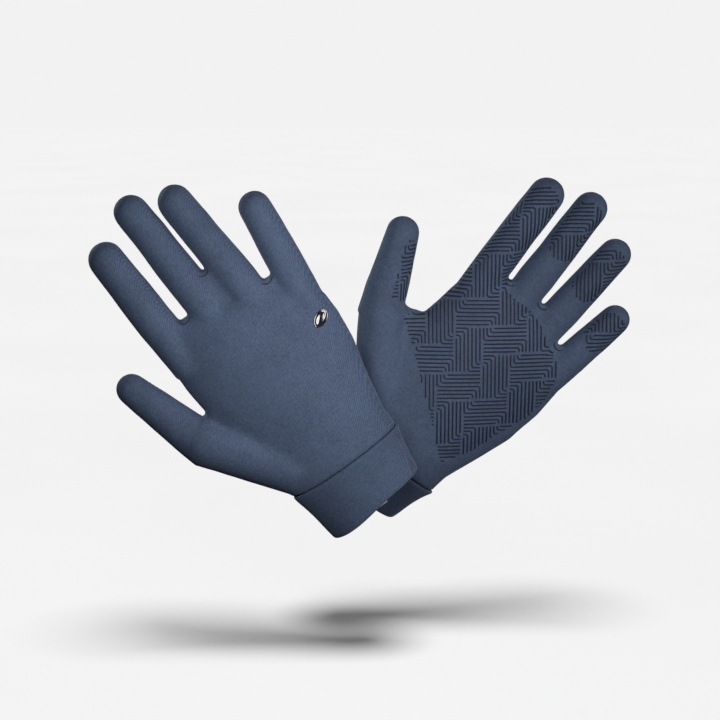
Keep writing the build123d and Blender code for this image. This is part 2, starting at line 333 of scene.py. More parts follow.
def make_skin(side):
    parts = hand_parts(side)
    choose(*parts)
    bpy.ops.object.join()
    skin = bpy.context.object
    skin.name = f"{side}_skin"
    finish_modifier(skin, "Skin", "REMESH", mode="VOXEL", voxel_size=VOXEL)
    finish_modifier(skin, "Tension", "SMOOTH", factor=0.5, iterations=8)
    faces_out = skin.vertex_groups.new(name="flat_sides")
    flat = [v.index for v in skin.data.vertices if abs(v.normal.y) > 0.45 and v.co.z < TIGHT_ABOVE[side]]
    faces_out.add(flat, 1.0, "REPLACE")
    finish_modifier(skin, "Stretch", "SMOOTH", factor=0.5, iterations=70, vertex_group="flat_sides")
    print(skin.name, len(skin.data.polygons), "faces")
    return skin


skins = {side: make_skin(side) for side in SIDES}


# %% [markdown]
# ## Folds and tension in the cloth
# A filled glove isn't perfectly even. The cloth swells and sinks by fractions of a millimetre, and it
# creases where the thumb leaves the palm and where the wrist narrows. Cloth simulation could find
# such creases, but these are few and have known places, so the vertices are moved in code: soft noise
# for the swelling, and a narrow dip along each crease line.

# %% Swell and crease the skin
# crease lines on the map: start across and up, end across and up, depth, width (millimetres)
CREASES = {
    "right": (
        ((-48.5, 103.0), (-40.0, 84.0), 1.3, 2.6), ((-39.0, 84.0), (-29.0, 66.0), 0.5, 4.0),
        ((-58.0, 108.0), (-70.0, 101.0), 0.5, 3.0), ((-30.0, 52.0), (-8.0, 47.0), 0.5, 3.5),
        ((34.0, 55.0), (16.0, 50.0), 0.4, 3.5), ((-30.0, 60.0), (-4.0, 58.0), 0.35, 5.0),
    ),
    "left": (
        ((-43.0, 112.0), (-37.0, 92.0), 1.2, 2.8), ((-36.0, 90.0), (-18.0, 62.0), 0.5, 5.0),
        ((-55.0, 118.0), (-72.0, 112.0), 0.5, 3.0), ((-18.0, 58.0), (14.0, 50.0), 0.5, 4.0),
        ((36.0, 60.0), (14.0, 56.0), 0.4, 4.0),
    ),
}
SWELL = ((21.0 * MM, 0.34 * MM), (9.0 * MM, 0.13 * MM))  # size and height of the soft noise


def crease_depth(flat_points, start, end, depth, width):
    """How far each point of the map sinks for one crease line."""
    start, end = np.array(start) * MM, np.array(end) * MM
    along = (end - start) / np.linalg.norm(end - start)
    offset = flat_points - start
    share = (offset @ along) / np.linalg.norm(end - start)
    gap = np.abs(offset @ np.array((-along[1], along[0])))
    beyond = np.maximum(0, np.maximum(-share, share - 1)) * np.linalg.norm(end - start)
    fade = np.sin(np.clip(share, 0.12, 0.9) * math.pi) ** 0.7
    return depth * MM * fade * np.exp(-((gap / (width * MM)) ** 2) - (beyond / (3 * MM)) ** 2)


def crease_skin(side):
    skin = skins[side]
    points = positions(skin)
    normals = np.array([vertex.normal for vertex in skin.data.vertices])
    rise = np.zeros(len(points))
    for seed, (size, height) in enumerate(SWELL):
        rise += [height * bumps(point, size, seed * 5 + 3 * PALM[side]) for point in points]
    front = normals[:, 1] * PALM[side]
    for start, end, depth, width in CREASES[side]:
        rise -= crease_depth(points[:, [0, 2]], start, end, depth, width) * np.clip(1.2 - front * 0.2, 0.6, 1)
    set_positions(skin, points + normals * rise[:, None])
    print(skin.name, "moved between", round(rise.min() * 1000, 2), "and", round(rise.max() * 1000, 2), "mm")


for side in SIDES:
    crease_skin(side)

# %% [markdown]
# ## Wrist edge and side seams
# The back and the palm are sewn together along the outline of the hand, right round every finger. A
# sewn seam pulls the cloth in, so it shows as a fine groove. The skin is bisected along a plane just
# in front of the middle of the glove and a little to each side of it, and the middle cut is pushed
# in. Bisecting gives a clean seam that a sculpted groove on this mesh would not have.

# %% Bisect the wrist and the seam
SEAM_HALF = 0.75 * MM
SEAM_PLACE = -2.4 * MM  # where the seam plane crosses Y
SEAM_DEPTH = 0.75 * MM
WRIST_TUCK = 1.3 * MM


def select_faces(obj, wanted):
    """Selects these faces only, in face mode."""
    choose(obj)
    bpy.context.tool_settings.mesh_select_mode = (False, False, True)
    mesh = obj.data
    mesh.vertices.foreach_set("select", np.zeros(len(mesh.vertices), bool))
    mesh.edges.foreach_set("select", np.zeros(len(mesh.edges), bool))
    mesh.polygons.foreach_set("select", np.asarray(wanted, bool))


def face_centres(obj):
    centres = np.zeros(len(obj.data.polygons) * 3)
    obj.data.polygons.foreach_get("center", centres)
    return centres.reshape(-1, 3)


def bisect(obj, wanted, place, normal, **keep):
    """Cuts the chosen faces along a plane."""
    select_faces(obj, wanted)
    bpy.ops.object.mode_set(mode="EDIT")
    bpy.ops.mesh.bisect(plane_co=place, plane_no=normal, **keep)
    bpy.ops.object.mode_set(mode="OBJECT")


def everything(obj):
    return np.ones(len(obj.data.polygons), bool)


def sew_seams(side):
    skin = skins[side]
    bisect(skin, everything(skin), (0, 0, WRIST_SEAM), (0, 0, 1), clear_inner=True)
    for level in (SEAM_PLACE - SEAM_HALF, SEAM_PLACE, SEAM_PLACE + SEAM_HALF):
        bisect(skin, everything(skin), (0, level, 0), (0, 1, 0))
    points = positions(skin)
    normals = np.array([vertex.normal for vertex in skin.data.vertices])
    depth = np.where(np.abs(points[:, 1] - SEAM_PLACE) < 0.02 * MM, SEAM_DEPTH, 0.0)
    near_wrist = np.clip((WRIST_SEAM + 2.2 * MM - points[:, 2]) / (2.2 * MM), 0, 1)
    depth = np.maximum(depth, WRIST_TUCK * near_wrist ** 2)
    set_positions(skin, points - normals * depth[:, None])
    print(skin.name, "seam vertices", int((depth >= SEAM_DEPTH).sum()))


for side in SIDES:
    sew_seams(side)

# %% [markdown]
# ## Where each finger starts to bend
# A finger can only bend above the crotches beside it. Below them its cloth is shared with the next
# finger and would tear. A ray dropped between two fingers finds the crotch on the skin, and the
# plane where a finger's piece starts passes just above the crotches on its two sides.

# %% Find the crotches and the bending zones
ZONE = 10.0 * MM
CROTCH_GAP = 1.2 * MM
OFF_SEAM = 0.3 * MM  # rays beside the seam, because one along an edge can slip through


def skin_tree(skin):
    mesh = skin.data
    faces = [tuple(face.vertices) for face in mesh.polygons]
    return BVHTree.FromPolygons([vertex.co for vertex in mesh.vertices], faces)


def find_crotch(tree, first, second):
    """The lowest point of the gap between two neighbouring fingers."""
    lowest = None
    towards = (first["along"] + second["along"]).normalized()
    for share in np.linspace(0.25, 0.75, 41):
        spot = first["knuckle"].lerp(second["knuckle"], share) + Vector((0, OFF_SEAM, 0))
        hit = tree.ray_cast(spot + towards * 22 * MM, -towards)[0]
        if hit is not None and (lowest is None or (hit - lowest).dot(towards) < 0):
            lowest = hit
    return lowest


def find_thumb_crotch(tree, side):
    """The lowest point between the thumb and the side of the hand."""
    thumb, lowest = fingers[side]["thumb"], None
    for step in np.linspace(4, 22, 25):
        start = thumb["knuckle"] + Vector((step * MM, OFF_SEAM, 14 * MM))
        hit = tree.ray_cast(start, Vector((0, 0, -1)))[0]
        if hit is not None and (lowest is None or hit.z < lowest.z):
            lowest = hit
    return lowest


def add_zones(side, tree):
    crotches = {}
    for first, second in zip(ROW, ROW[1:]):
        crotches[first, second] = find_crotch(tree, fingers[side][first], fingers[side][second])
    crotches["thumb", "hand"] = find_thumb_crotch(tree, side)
    for key, finger in fingers[side].items():
        limits = {-1: -ZONE, 1: -ZONE}
        for pair, spot in crotches.items():
            if key in pair and spot is not None:
                away = 1 if pair[0] == key else -1
                limits[away] = max(limits[away], (spot - finger["knuckle"]).dot(finger["along"]) + CROTCH_GAP)
        left = finger["knuckle"] + finger["along"] * limits[-1] - finger["across"] * finger["radius"]
        right = finger["knuckle"] + finger["along"] * limits[1] + finger["across"] * finger["radius"]
        finger["cut"] = (left + right) / 2
        finger["cut_normal"] = (right - left).cross(Vector((0, 1, 0))).normalized()
        half = min(ZONE, finger["span"] / 2 - 0.25 * MM)
        bend_end = (finger["along"] * half + finger["knuckle"] - finger["cut"]).dot(finger["cut_normal"])
        finger["knuckle_zone"] = (finger["cut"], finger["cut"] + finger["cut_normal"] * bend_end)
        finger["half"] = finger["knuckle"] + finger["along"] * finger["span"] / 2
        centre = finger["knuckle"] + finger["along"] * finger["span"]
        finger["middle_zone"] = (centre - finger["along"] * half, centre + finger["along"] * half)
        print(side, key, "cut at", round(limits[-1] * 1000, 1), round(limits[1] * 1000, 1), "mm")
    return crotches


def face_normals(skin):
    """The smooth normal at the middle of every face."""
    normals = [vertex.normal for vertex in skin.data.vertices]
    means = [sum((normals[v] for v in face.vertices), Vector()).normalized() for face in skin.data.polygons]
    return np.array(means)


trees = {side: skin_tree(skins[side]) for side in SIDES}
skin_normals = {side: face_normals(skins[side]) for side in SIDES}
crotches = {side: add_zones(side, trees[side]) for side in SIDES}

# %% [markdown]
# ## Cut the skin into its pieces
# The cloth of one glove is one smooth skin, but the parts of a finger move apart, so the skin is cut
# straight across where each piece ends and separated. The smooth normals of the whole skin are stored
# first and put back afterwards, so no cut shows as an edge in the shading.

# %% Cut and separate
GUSSET_BACK = 26.0 * MM  # the thumb gusset starts this far below the thumb's knuckle
GUSSET_HALF = 17.0 * MM
GUSSET_REACH = 60.0 * MM  # only the skin this near to its start is cut
KNIT_WALL = 0.9 * MM


def store_vectors(obj, name, values):
    attribute = obj.data.attributes.new(name, "FLOAT_VECTOR", "POINT")
    attribute.data.foreach_set("vector", np.asarray(values, np.float32).ravel())


def read_vectors(obj, name):
    values = np.zeros(len(obj.data.vertices) * 3, np.float32)
    obj.data.attributes[name].data.foreach_get("vector", values)
    return values.reshape(-1, 3)


def past_cut(finger, points):
    return (points - np.array(finger["cut"])) @ np.array(finger["cut_normal"]) > 0


def past_half(finger, points):
    return (points - np.array(finger["half"])) @ np.array(finger["along"]) > 0


def finger_faces(side, points):
    """For each point, the finger whose tube it lies on, or an empty name."""
    owner = np.full(len(points), "", dtype=object)
    nearest = np.full(len(points), np.inf)
    for key, finger in fingers[side].items():
        offset = points - np.array(finger["knuckle"])
        along = offset @ np.array(finger["along"])
        distance = np.linalg.norm(offset - along[:, None] * np.array(finger["along"]), axis=1)
        mine = past_cut(finger, points) & (distance < nearest) & (distance < 1.45 * finger["radius"])
        owner[mine] = key
        nearest[mine] = distance[mine]
    return owner


def past_gusset(side, points):
    thumb = fingers[side]["thumb"]
    start = thumb["knuckle"] - thumb["along"] * GUSSET_BACK
    reach = np.abs((points - np.array(start)) @ np.array(thumb["across"]))
    return ((points - np.array(start)) @ np.array(thumb["along"]) > 0) & (reach < GUSSET_HALF)


def split_off(obj, wanted, name):
    """Separates these faces into a piece of their own."""
    select_faces(obj, wanted)
    bpy.ops.object.mode_set(mode="EDIT")
    bpy.ops.mesh.separate(type="SELECTED")
    bpy.ops.object.mode_set(mode="OBJECT")
    piece = next(other for other in bpy.context.selected_objects if other != obj)
    piece.name = name
    return piece


def cut_pieces(side):
    """Cuts the skin of one glove and returns its pieces by name."""
    skin = skins[side]
    for key, finger in fingers[side].items():
        offset = face_centres(skin) - np.array(finger["cut"])
        near = np.linalg.norm(offset, axis=1) < 1.5 * finger["radius"]
        bisect(skin, near, finger["cut"], finger["cut_normal"])
        owner = finger_faces(side, face_centres(skin))
        bisect(skin, owner == key, finger["half"], finger["along"])
    thumb = fingers[side]["thumb"]
    start = thumb["knuckle"] - thumb["along"] * GUSSET_BACK
    for shift, normal in ((0, "along"), (-GUSSET_HALF, "across"), (GUSSET_HALF, "across")):
        close = np.linalg.norm(face_centres(skin) - np.array(start), axis=1) < GUSSET_REACH
        bisect(skin, close, start + thumb["across"] * shift, thumb[normal])
    store_vectors(skin, "whole_normal", [vertex.normal for vertex in skin.data.vertices])
    store_vectors(skin, "rest_place", positions(skin))
    pieces = {}
    for key in FINGERS:
        centres = face_centres(skin)
        owner = finger_faces(side, centres) == key
        pieces[f"{key}_tip"] = split_off(
            skin, owner & past_half(fingers[side][key], centres), f"{side}_{key}_tip_knit"
        )
        owner = finger_faces(side, face_centres(skin)) == key
        pieces[f"{key}_lower"] = split_off(skin, owner, f"{side}_{key}_lower_knit")
    pieces["gusset"] = split_off(skin, past_gusset(side, face_centres(skin)), f"{side}_thumb_gusset_knit")
    back = face_centres(skin)[:, 1] * PALM[side] < 0
    pieces["back"] = split_off(skin, back, f"{side}_back_knit")
    skin.name = f"{side}_palm_knit"
    pieces["palm"] = skin
    return pieces


knits = {side: cut_pieces(side) for side in SIDES}
for name, piece in knits["right"].items():
    print(name, len(piece.data.polygons), "faces")

# %% Give the cloth its wall


def give_wall(piece, thickness):
    """Adds the wall on the inside and puts back the normals of the whole skin."""
    before = positions(piece)
    finish_modifier(piece, "Wall", "SOLIDIFY", thickness=thickness, offset=-1)
    mesh = piece.data
    count = len(before)
    after = positions(piece)
    first_is_outer = np.abs(after[:count] - before).max() < 0.01 * MM
    outer = np.arange(len(after)) < count
    if not first_is_outer:
        outer = ~outer
    stored = read_vectors(piece, "whole_normal")
    normals = np.zeros((len(mesh.loops), 3))
    for face in mesh.polygons:
        corners = [outer[vertex] for vertex in face.vertices]
        for loop, vertex in zip(face.loop_indices, face.vertices):
            if all(corners):
                normals[loop] = stored[vertex]
            elif any(corners):
                normals[loop] = face.normal
            else:
                normals[loop] = -stored[vertex]
    mesh.polygons.foreach_set("use_smooth", np.ones(len(mesh.polygons), bool))
    mesh.normals_split_custom_set(normals.tolist())


for side in SIDES:
    for piece in knits[side].values():
        give_wall(piece, KNIT_WALL)
print("walls of", KNIT_WALL * 1000, "mm")

# %% [markdown]
# ## The folded cuff
# The cuff is a band of the same knit, folded double and sewn to the hand. Its section is a closed
# loop: down the outside, round the soft fold at the hem and up again inside. A ring of vertices is
# extruded down through these levels and back up, the two ends are merged, and it is smoothed by
# subdivision. The cloth swells a little beside the seam, more at the two edges of the wrist.

# %% Model the cuff
CUFF_LEVELS = (
    # up, inset from the outer face of the cuff (millimetres)
    (32.6, 1.7), (34.0, 1.25), (34.3, 0.75), (33.8, 0.15), (32.4, -0.25), (29.0, -0.1), (23.0, 0.1),
    (16.0, 0.1), (9.0, 0.0), (3.2, -0.1), (1.2, -0.1), (0.15, 0.35), (-0.1, 0.85), (0.2, 1.35),
    (1.4, 1.65), (6.0, 1.6), (14.0, 1.6), (23.0, 1.6), (30.0, 1.65),
)
CUFF_HEM = (31.6, 19.0)
CUFF_SEAM = (36.5, 20.0)
SEAM_ACROSS = {"right": 0.5, "left": 1.8}
SEAM_SWELL = {"right": 0.7, "left": 1.5}
HEM_LIFT = {"right": 5.2, "left": 6.0}  # the hem rises a little towards the little finger


def cuff_ring(side, up, inset):
    """Centre, half width and half thickness of the cuff at a level."""
    share = up / (WRIST_SEAM / MM)
    width = CUFF_HEM[0] + (CUFF_SEAM[0] - CUFF_HEM[0]) * share - inset
    thickness = CUFF_HEM[1] + (CUFF_SEAM[1] - CUFF_HEM[1]) * share - inset
    return Vector((SEAM_ACROSS[side] * share, 0, up)) * MM, width * MM, thickness * MM, 0.0


def close_band(band):
    """Joins the last ring of an open tube to its first and smooths it."""
    bpy.ops.object.mode_set(mode="EDIT")
    bpy.ops.mesh.select_mode(type="EDGE")
    bpy.ops.mesh.select_all(action="DESELECT")
    bpy.ops.mesh.select_non_manifold()
    bpy.ops.mesh.bridge_edge_loops()
    bpy.ops.mesh.select_all(action="SELECT")
    bpy.ops.mesh.normals_make_consistent(inside=False)
    bpy.ops.object.mode_set(mode="OBJECT")
    finish_modifier(band, "Smooth", "SUBSURF", levels=1, render_levels=1)
    bpy.ops.object.shade_smooth()


def make_cuff(side):
    rings = [cuff_ring(side, up, inset) for up, inset in CUFF_LEVELS]
    cuff = grow_tube(f"{side}_cuff", rings, 112, "NOTHING")
    close_band(cuff)
    points = positions(cuff)
    level = np.clip(points[:, 2] / WRIST_SEAM, 0, 1)
    sides = np.abs(points[:, 0]) / (36 * MM)
    swell = np.array([bumps(point, 17 * MM, 11 + PALM[side]) for point in points])
    folds = np.array([bumps((p[0], p[1], p[2] * 0.35), 8 * MM, 23) for p in points])
    push = 0.45 * MM * swell + 0.28 * MM * folds * (1 - level)
    push += SEAM_SWELL[side] * MM * sides ** 6 * level ** 5
    flat = points * np.array((1, 1, 0)) / np.array((36 * MM, 20 * MM, 1))
    away = flat / np.maximum(np.linalg.norm(flat, axis=1), 1e-9)[:, None]
    points += away * push[:, None]
    points[:, 2] += 0.5 * MM * np.array([bumps((p[0], p[1], 0), 19 * MM, 31) for p in points]) * (1 - level)
    rise = np.clip((points[:, 0] + 30 * MM) / (50 * MM), 0, 1)
    points[:, 2] += HEM_LIFT[side] * MM * rise * rise * (3 - 2 * rise) * (1 - level)
    set_positions(cuff, points)
    store_vectors(cuff, "rest_place", points)
    print(cuff.name, len(cuff.data.polygons), "faces")
    return cuff


cuffs = {side: make_cuff(side) for side in SIDES}

# %% [markdown]
# ## The liner and the label inside the cuff
# Inside the wrist a narrow tape covers the raw edge of the seam, and a small blank label is sewn in
# at the back. The tape is another closed band. The label is a little sheet: a subdivided plane that
# is cupped to the curve of the cuff, with its lower corners curling away.

# %% Model the liner and the label
LINER_LEVELS = ((28.3, 1.85), (31.0, 1.8), (33.3, 1.85), (33.6, 2.1), (33.2, 2.45), (31.0, 2.4), (28.3, 2.45),
                (28.0, 2.15))
LABEL_SIZE = (16.0 * MM, 20.0 * MM)
LABEL_UP = 13.0 * MM


def make_liner(side):
    rings = [cuff_ring(side, up, inset) for up, inset in LINER_LEVELS]
    liner = grow_tube(f"{side}_cuff_liner_tape", rings, 96, "NOTHING")
    close_band(liner)
    store_vectors(liner, "rest_place", positions(liner))
    return liner


def make_label(side):
    """A small sheet on the back wall, inside the cuff."""
    bpy.ops.object.select_all(action="DESELECT")
    bpy.ops.mesh.primitive_grid_add(x_subdivisions=12, y_subdivisions=15, size=1.0)
    label = bpy.context.object
    label.name = f"{side}_blank_label"
    bpy.ops.object.mode_set(mode="EDIT")
    bpy.ops.mesh.select_all(action="SELECT")
    bpy.ops.transform.resize(value=(*LABEL_SIZE, 1))
    bpy.ops.object.mode_set(mode="OBJECT")
    points = positions(label)
    across, down = points[:, 0].copy(), points[:, 1].copy() / LABEL_SIZE[1]
    wall = cuff_ring(side, 13, 0)[2] - 4.1 * MM
    curl = 1.2 * MM * (0.5 - down) ** 2
    bow = wall * np.sqrt(1 - (across / (33 * MM)) ** 2) - curl
    points[:, 0] = across
    points[:, 1] = -PALM[side] * bow
    points[:, 2] = LABEL_UP + down * LABEL_SIZE[1]
    set_positions(label, points)
    store_vectors(label, "rest_place", points)
    finish_modifier(label, "Tape", "SOLIDIFY", thickness=0.4 * MM, offset=0)
    bpy.ops.object.mode_set(mode="EDIT")
    bpy.ops.mesh.select_all(action="SELECT")
    bpy.ops.mesh.normals_make_consistent(inside=False)
    bpy.ops.object.mode_set(mode="OBJECT")
    bpy.ops.object.shade_smooth_by_angle(angle=math.radians(40))
    return label


liners = {side: make_liner(side) for side in SIDES}
labels = {side: make_label(side) for side in SIDES}
print("label", LABEL_SIZE)

# %% [markdown]
# ## The grip print
# Raised silicone lines cover the palm, the whole index finger and the other fingertips. They form a
# herringbone of long blocks, seven lines to a block, and three lines of each block turn the corner at
# each end. One block is drawn as seven flat paths, vertex after vertex. A mirrored copy lies across,
# and the pair is repeated over the flat map of the hand. Drawing it flat keeps the print regular.

# %% Draw one block of lines
LINE_PITCH = 2.3 * MM
LINE_COUNT = 7
BLOCK_WIDTH = LINE_COUNT * LINE_PITCH
BLOCK_LENGTH = 27.3 * MM
END_GAP = 0.4 * LINE_PITCH
CORNER_CUT = 0.4 * LINE_PITCH
PATH_STEP = 0.95 * MM
TURN_DEPTHS = {3: 0.45, 2: 1.35, 1: 2.25}  # where a line turns off, in pitches below the end of the block


def block_line(number):
    """The corners of one line of the upright block, from its lower end to its upper end."""
    place = (number + 0.5) * LINE_PITCH
    corners = []
    mirrored = LINE_COUNT - 1 - number
    if mirrored in TURN_DEPTHS:
        low = TURN_DEPTHS[mirrored] * LINE_PITCH
        corners += [(BLOCK_WIDTH - END_GAP, low), (place + CORNER_CUT, low), (place, low + CORNER_CUT)]
    else:
        corners.append((place, 3.1 * LINE_PITCH if mirrored == 0 else END_GAP))
    if number in TURN_DEPTHS:
        high = BLOCK_LENGTH - TURN_DEPTHS[number] * LINE_PITCH
        corners += [(place, high - CORNER_CUT), (place - CORNER_CUT, high), (END_GAP, high)]
    else:
        corners.append((place, BLOCK_LENGTH - (3.1 * LINE_PITCH if number == 0 else END_GAP)))
    return [Vector((across, 0, up)) for across, up in corners]


def draw_path(corners):
    """A row of vertices joined by edges, drawn by extruding one vertex."""
    bpy.ops.object.select_all(action="DESELECT")
    bpy.ops.mesh.primitive_plane_add(size=0.001)
    path = bpy.context.object
    bpy.ops.object.mode_set(mode="EDIT")
    bpy.ops.mesh.select_mode(type="VERT")
    bpy.ops.mesh.select_all(action="SELECT")
    bpy.ops.mesh.merge(type="CENTER")
    bpy.ops.transform.translate(value=corners[0])
    for start, end in zip(corners, corners[1:]):
        steps = max(1, round((end - start).length / PATH_STEP))
        for _ in range(steps):
            bpy.ops.mesh.extrude_vertices_move(TRANSFORM_OT_translate={"value": (end - start) / steps})
    bpy.ops.object.mode_set(mode="OBJECT")
    return path


block_paths = [draw_path(block_line(number)) for number in range(LINE_COUNT)]
choose(*block_paths)
bpy.ops.object.join()
upright_block = bpy.context.object
cross_block = copy_of(upright_block, "cross_block")
swap = Matrix(((0, 0, -1, BLOCK_LENGTH + BLOCK_WIDTH), (0, 1, 0, 0), (-1, 0, 0, BLOCK_LENGTH), (0, 0, 0, 1)))
cross_block.data.transform(swap)
choose(upright_block, cross_block)
bpy.ops.object.join()
print("one pair of blocks has", len(upright_block.data.vertices), "vertices")

# %% Repeat the blocks over the hand
PATTERN_TURN = math.radians(40)  # the upright blocks lean towards the thumb on the map
PATTERN_START = (0.0, 100.0)  # across and up of one block corner, in millimetres


def lay_pattern(side):
    """All the lines of the flat map, as paths on its middle plane."""
    copies = []
    to_map = Matrix.Translation(Vector((PATTERN_START[0], 0, PATTERN_START[1])) * MM)
    to_map = to_map @ Matrix.Rotation(-PATTERN_TURN, 4, "Y")
    for column in range(-6, 7):
        for row in range(-4, 5):
            across = column * BLOCK_WIDTH + row * BLOCK_LENGTH
            up = -column * BLOCK_WIDTH + row * BLOCK_LENGTH
            move = to_map @ Matrix.Translation((across, 0, up))
            spot = move @ Vector((BLOCK_LENGTH / 2, 0, BLOCK_LENGTH / 2))
            if -95 * MM < spot.x < 90 * MM and 40 * MM < spot.z < 250 * MM:
                tile = copy_of(upright_block, "tile")
                tile.data.transform(move)
                copies.append(tile)
    choose(*copies)
    bpy.ops.object.join()
    pattern = bpy.context.object
    pattern.name = f"{side}_pattern"
    print(pattern.name, len(pattern.data.vertices), "vertices")
    return pattern


patterns = {side: lay_pattern(side) for side in SIDES}
bpy.data.objects.remove(upright_block)

# %% [markdown]
# ## Trim the print to the glove
# The printed areas have outlines of their own: one on the palm, a strip over the whole index finger, a
# narrow strip on the inner side of the thumb, and a patch on each other fingertip. Each area gets a
# copy of the pattern with every edge outside it deleted, so each part has a print piece of its own.

# %% Choose what is printed
PALM_OUTLINES = {
    "right": (
        (-44, 103), (-31, 94), (-12, 80), (6, 68), (22, 50), (33, 70), (39, 86), (44, 104), (46, 116),
        (43, 128), (36, 133), (27, 136), (14, 144), (-1, 147), (-15, 146), (-25.5, 148), (-26.5, 158),
        (-48, 158), (-48, 130), (-47, 114),
    ),
    "left": (
        (-44, 106), (-31, 98), (-13.5, 85), (2, 74), (29, 53.5), (39.5, 70), (45.5, 90), (52.5, 107),
        (53.5, 121), (50, 136), (44, 143), (34, 147), (22, 154), (10, 157), (-1, 156), (-8, 157),
        (-9.5, 166), (-31, 166), (-32, 140), (-38, 118),
    ),
}
# start past the knuckle and end past the centre of the round tip (millimetres); lower and upper edge
# round the finger in radians, measured towards the little finger
PRINTED = {
    "index": (-20.0, 4.5, -1.12, 1.05), "middle": (16.5, 3.5, -1.0, 1.05), "ring": (13.0, 3.0, -1.0, 1.05),
    "little": (11.0, 3.0, -1.0, 1.05), "thumb": (-4.0, -2.0, 0.3, 1.1),
}
INDEX_ROOT_FROM = 120.0 * MM  # above this the print of the index finger reaches down onto the palm
BESIDE = 1.4  # what lies within this turn round a finger belongs to the finger and not to the palm


def inside_outline(points, outline):
    """Whether each (across, up) lies inside a closed outline."""
    inside = np.zeros(len(points), bool)
    outline = np.array(outline) * MM
    for start, end in zip(outline, np.roll(outline, -1, axis=0)):
        crosses = (start[1] > points[:, 1]) != (end[1] > points[:, 1])
        slope = (end[0] - start[0]) / (end[1] - start[1] or 1e-12)
        inside ^= crosses & (points[:, 0] < start[0] + (points[:, 1] - start[1]) * slope)
    return inside


def along_and_round(finger, points):
    """Distance past the knuckle, and distance from the centre line as a turn round the finger."""
    offset = points - np.array(finger["knuckle"])
    along = offset @ np.array(finger["along"])
    radius = finger["radius"] + finger["taper"] * along
    return along, offset @ np.array(finger["across"]) / radius, radius


def printed_area(side, key, points):
    """Which of these points of the flat map are printed on this finger."""
    finger = fingers[side][key]
    start, end, low, high = PRINTED[key]
    start, end = start * MM, finger["length"] + end * MM
    along, turn, radius = along_and_round(finger, points)
    middle, half = (low + high) / 2, (high - low) / 2
    past_end = np.maximum(0, along - (end - half * radius * 0.75)) / (half * radius * 0.75)
    past_start = np.maximum(0, start + 5 * MM - along) / (5 * MM) if key in ROW[1:] else 0
    round_part = np.abs(turn - middle) / half
    return (round_part ** 2 + past_end ** 2 < 1) & (round_part + past_start * 0.8 < 1.0) & (along > start)


def print_areas(side):
    """The tests that say which paths belong to which printed piece."""
    index, thumb = fingers[side]["index"], fingers[side]["thumb"]

    def on_palm(points):
        index_root = printed_area(side, "index", points) & (points[:, 2] > INDEX_ROOT_FROM)
        area = inside_outline(points[:, [0, 2]], PALM_OUTLINES[side]) | index_root
        area |= printed_area(side, "thumb", points)
        for finger in (index, thumb):
            area &= ~(past_cut(finger, points) & (np.abs(along_and_round(finger, points)[1]) < BESIDE))
        return area

    areas = {"palm": on_palm}
    for key in ("index", "thumb"):
        finger = fingers[side][key]
        areas[f"{key}_lower"] = lambda points, key=key, finger=finger: (
            printed_area(side, key, points) & past_cut(finger, points) & ~past_half(finger, points)
        )
    for key in FINGERS:
        finger = fingers[side][key]
        areas[f"{key}_tip"] = lambda points, key=key, finger=finger: (
            printed_area(side, key, points) & past_half(finger, points)
        )
    return areas


# %% Wrap the print round the fingers
WRAP_RUN = 14.0 * MM  # the wrapping grows over this length below the knuckle
WRAP_WIDEST, WRAP_MOST = 1.35, 1.25  # turns in radians: where wrapping stops, and its largest turn
FACING_LEAST = 0.28  # lines stay only where the cloth faces the palm side at least this much


def wrap_round(side, flat):
    """Moves points of the flat map inwards, so that the print keeps its length round each finger."""
    closest, shift = np.full(len(flat), np.inf), np.zeros_like(flat)
    for finger in fingers[side].values():
        along, turn, radius = along_and_round(finger, flat)
        grip = np.clip((along + WRAP_RUN) / WRAP_RUN, 0, 1)
        grip = grip * grip * (3 - 2 * grip)
        mine = (np.abs(turn) < WRAP_WIDEST) & (np.abs(turn) < closest) & (along > -WRAP_RUN)
        wrapped = (np.sin(np.clip(turn, -WRAP_MOST, WRAP_MOST)) - turn) * radius * grip
        shift[mine] = wrapped[mine, None] * np.array(finger["across"])
        closest[mine] = np.abs(turn[mine])
    return flat + shift


def find_skin(side, spot, facing):
    """The place on the skin over a point of the map, seen from the front or the back, and its normal."""
    start = Vector((spot[0], facing * 60 * MM, spot[2]))
    hit, _, face, _ = trees[side].ray_cast(start, Vector((0, -facing, 0)))
    if hit is None:
        return None, None
    return np.array(hit), skin_normals[side][face]


def trim_pattern(side, name, wanted):
    """A copy of the pattern that keeps only the edges whose middle is wanted and lies on cloth."""
    lines = copy_of(patterns[side], f"{side}_{name}_print_lines")
    ends = np.zeros(len(lines.data.edges) * 2, int)
    lines.data.edges.foreach_get("vertices", ends)
    middles = positions(lines)[ends.reshape(-1, 2)].mean(axis=1)
    kept = wanted(middles)
    wrapped = wrap_round(side, middles)
    for number in np.flatnonzero(kept):
        spot, normal = find_skin(side, wrapped[number], PALM[side])
        kept[number] = spot is not None and normal[1] * PALM[side] > FACING_LEAST
    choose(lines)
    bpy.context.tool_settings.mesh_select_mode = (False, True, False)
    lines.data.vertices.foreach_set("select", np.zeros(len(lines.data.vertices), bool))
    lines.data.edges.foreach_set("select", ~kept)
    bpy.ops.object.mode_set(mode="EDIT")
    bpy.ops.mesh.delete(type="EDGE")
    bpy.ops.object.mode_set(mode="OBJECT")
    return lines


# %% [markdown]
# ## Give the lines their body and press them on
# The trimmed paths become curves with a round bevel, which gives every line its width and closed ends.
# As a mesh again, each line is laid on the palm: its place on the flat map is wrapped round the
# finger it lies on, a ray finds the skin there, and its height is measured along the skin's normal.

# %% Raise and place the lines
LINE_WIDTH = 1.0 * MM
LINE_HEIGHT = 0.42 * MM
LINE_SUNK = 0.15 * MM


